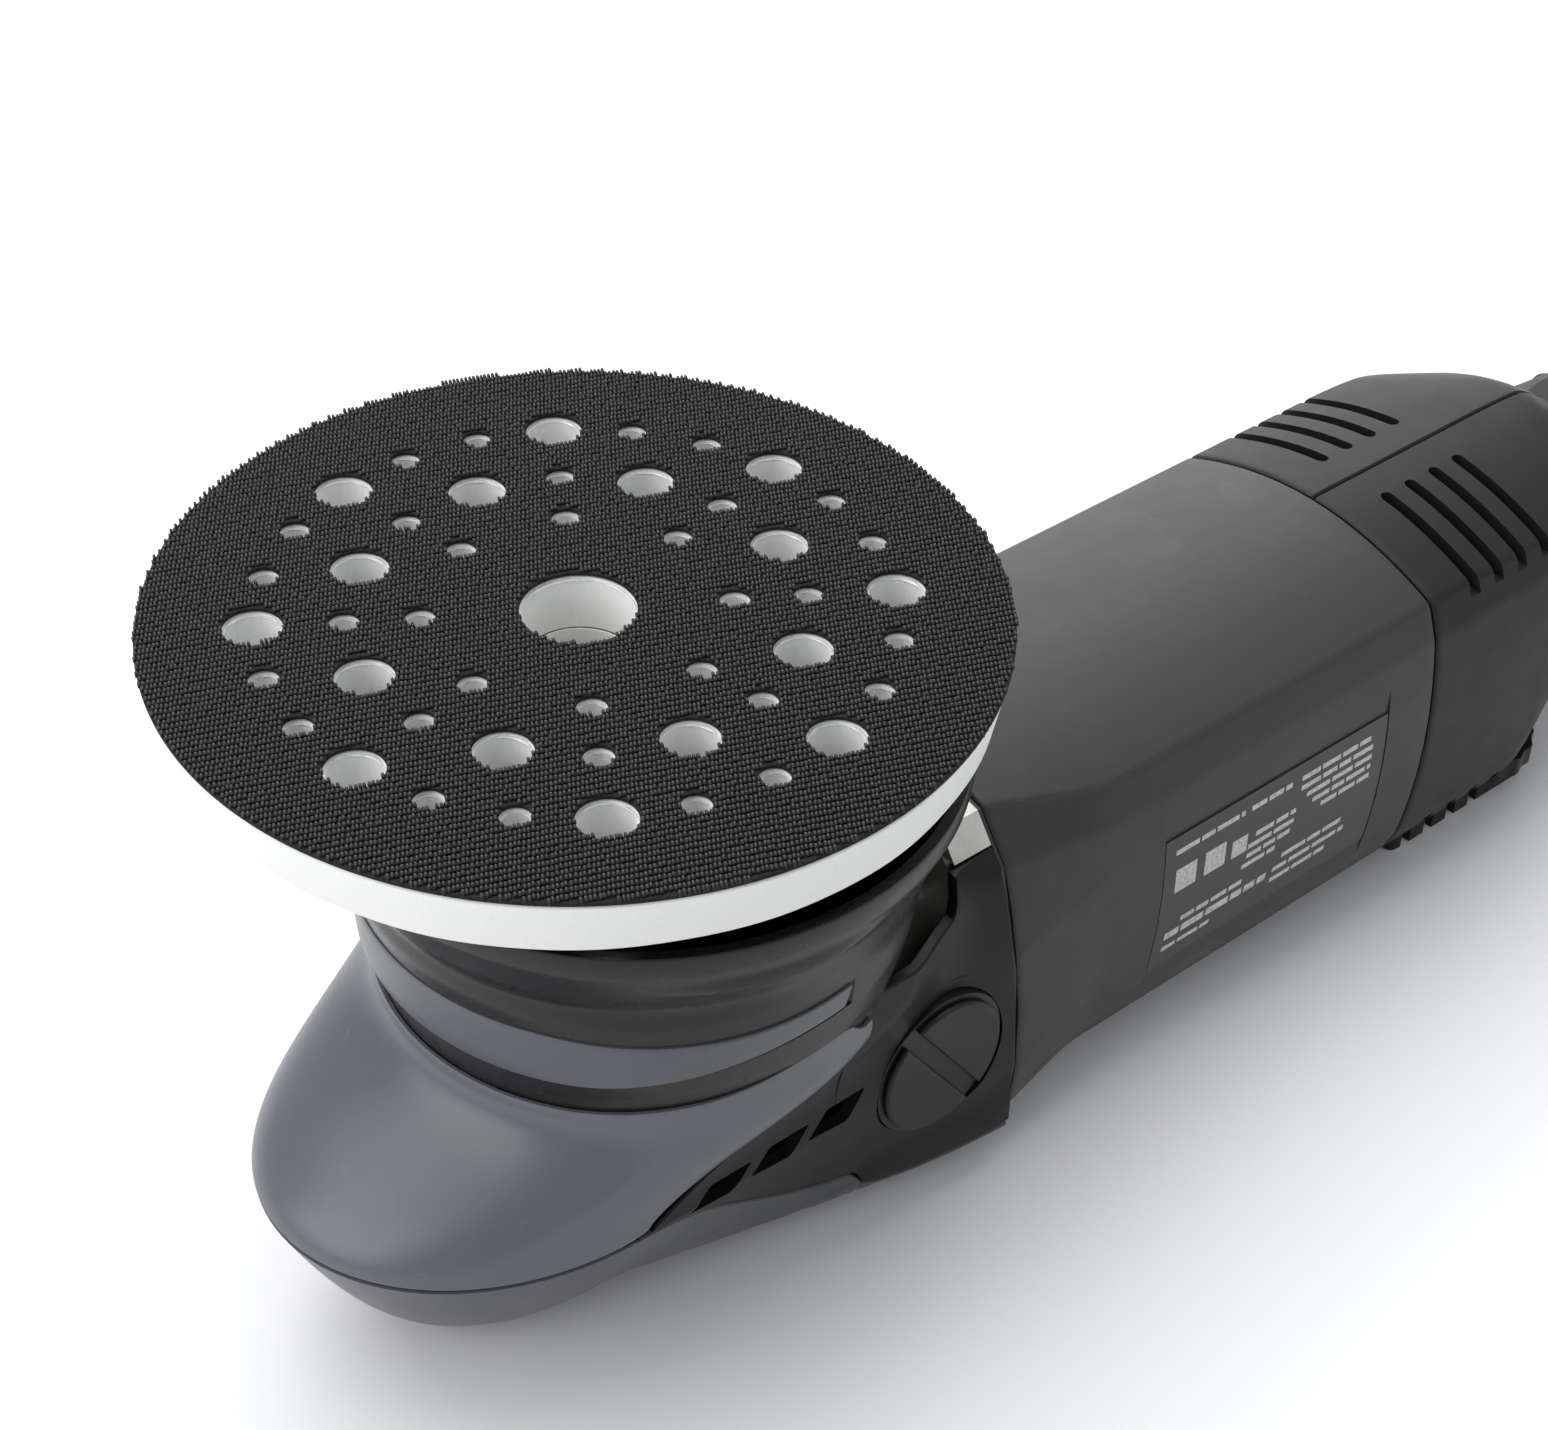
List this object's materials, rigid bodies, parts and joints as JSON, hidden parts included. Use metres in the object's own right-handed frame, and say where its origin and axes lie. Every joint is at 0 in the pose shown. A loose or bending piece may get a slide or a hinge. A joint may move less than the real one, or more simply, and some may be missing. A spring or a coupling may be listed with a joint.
{
  "type": "orbital sander",
  "caption": "Two-handed orbital sander lying on its back: long motor body with a rear grip, and a round perforated hook-faced pad on an eccentric drive.",
  "frame": {"origin": "where the drive axis meets the surface that the tool lies on", "axes": "+X along the motor towards the tail, +Y to the left of the handle, +Z out of the pad's working face"},
  "size_m": [0.4587, 0.15, 0.137],
  "materials": {
    "hook_pile": "dense hook-and-loop pile",
    "pad_foam": "soft moulded foam, satin skin",
    "black_plastic": "fine-textured moulded nylon",
    "housing_plastic": "fine-textured moulded nylon",
    "grey_rubber": "satin overmoulded grip rubber",
    "cast_aluminium": "as cast, blasted",
    "steel": "ground",
    "dark_steel": "oiled dark steel",
    "copper": "lacquered copper",
    "carbon": "pressed carbon",
    "circuit_board": "solder-masked board",
    "plate_black": "printed label film"
  },
  "bodies": {
    "root": {"throat_skirt": "black_plastic", "side_cover_left": "black_plastic", "side_cover_right": "black_plastic", "side_cap_left": "black_plastic", "side_cap_right": "black_plastic", "motor_gasket": "black_plastic", "fan_baffle": "black_plastic", "bearing_bridge": "black_plastic", "switch_module": "black_plastic", "cord_gland": "black_plastic", "motor_housing": "housing_plastic", "rear_housing_left": "housing_plastic", "rear_housing_right": "housing_plastic", "accent_band": "grey_rubber", "palm_cover": "grey_rubber", "nose_cover": "grey_rubber", "gear_case": "cast_aluminium", "gear_case_cap": "cast_aluminium", "brush_holder_left": "cast_aluminium", "brush_holder_right": "cast_aluminium", "spindle_bearing_upper": "steel", "spindle_bearing_lower": "steel", "cap_screw_1": "steel", "cap_screw_2": "steel", "cap_screw_3": "steel", "motor_bearing_front": "steel", "motor_bearing_rear": "steel", "handle_screw_1": "steel", "handle_screw_2": "steel", "trigger_pin": "steel", "trigger_spring": "steel", "stator_core": "dark_steel", "field_coil_upper": "copper", "field_coil_lower": "copper", "carbon_brush_left": "carbon", "carbon_brush_right": "carbon", "control_board": "circuit_board", "rating_plate": "plate_black"},
    "drive": {"eccentric_hub": "dark_steel", "drive_spindle": "steel", "crown_gear": "dark_steel", "orbit_bearing_lower": "steel", "orbit_bearing_upper": "steel", "orbit_retainer": "dark_steel"},
    "pad": {"hook_disc": "hook_pile", "pad_foam": "pad_foam", "backing_plate": "black_plastic", "pad_screw": "steel", "pad_washer": "steel", "pad_spindle": "dark_steel"},
    "armature": {"bevel_pinion": "dark_steel", "armature_shaft": "steel", "armature_core": "dark_steel", "winding_front": "copper", "winding_rear": "copper", "commutator": "copper", "cooling_fan": "black_plastic"},
    "trigger": {"trigger": "black_plastic"},
    "lock_button": {"lock_button": "black_plastic"},
    "speed_dial": {"speed_dial": "black_plastic"}
  },
  "joints": [
    {"name": "drive_spin", "type": "hinge", "parent": "root", "child": "drive", "pos_m": [0, 0, 0.09], "axis": [0, 0, 1], "continuous": true},
    {"name": "pad_spin", "type": "hinge", "parent": "drive", "child": "pad", "pos_m": [-0.00575, 0.00879, 0.12], "axis": [0, 0, 1], "continuous": true},
    {"name": "armature_spin", "type": "hinge", "parent": "root", "child": "armature", "pos_m": [0.1, 0, 0.042], "axis": [1, 0, 0], "continuous": true},
    {"name": "trigger_press", "type": "hinge", "parent": "root", "child": "trigger", "pos_m": [0.269, 0, 0.065], "axis": [0, 1, 0], "range_deg": [0, 6], "stiffness_Nm_per_rad": 2, "springref_deg": -2.86, "deforming": ["trigger_spring"]},
    {"name": "lock_press", "type": "slide", "parent": "root", "child": "lock_button", "axis": [0, -1, 0], "range_m": [0, 0.003], "stiffness_N_per_m": 600, "springref_m": -0.001},
    {"name": "dial_turn", "type": "hinge", "parent": "root", "child": "speed_dial", "pos_m": [0.229, -0.0184, 0.0072], "axis": [0, 0, 1], "range_deg": [-135, 135]}
  ],
  "couplings": [
    {"joint": "armature_spin", "follows": "drive_spin", "ratio": -3.875}
  ]
}
